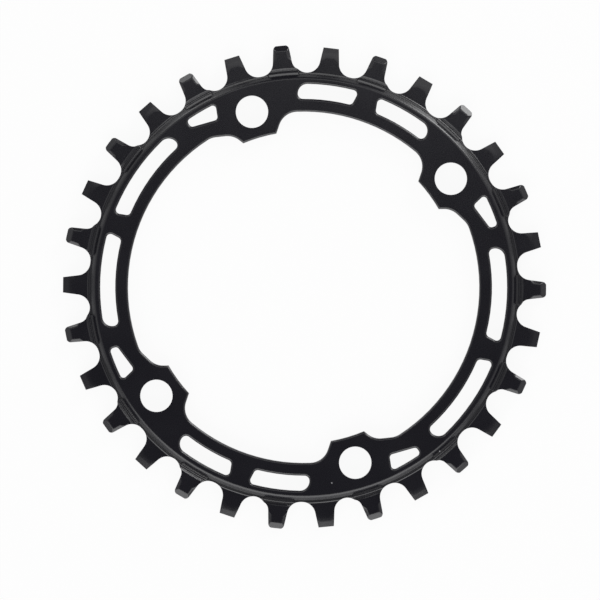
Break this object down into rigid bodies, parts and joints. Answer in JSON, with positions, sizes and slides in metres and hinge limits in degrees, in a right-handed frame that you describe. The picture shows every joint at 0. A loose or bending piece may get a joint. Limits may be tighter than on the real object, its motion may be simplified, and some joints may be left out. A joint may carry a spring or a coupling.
{
  "type": "bicycle chainring",
  "caption": "Flat black ring with alternating narrow and wide chain teeth, slotted windows in its rim and inward bolt tabs, for driving a bicycle chain from a crank.",
  "frame": {"origin": "centre of the ring on its back face", "axes": "+Z out of the front face, +Y through a wide tooth midway between two bolt tabs"},
  "size_m": [0.1268, 0.1267, 0.004],
  "materials": {
    "black_anodised": "black anodised, satin"
  },
  "bodies": {
    "root": {"chainring": "black_anodised"}
  },
  "joints": []
}
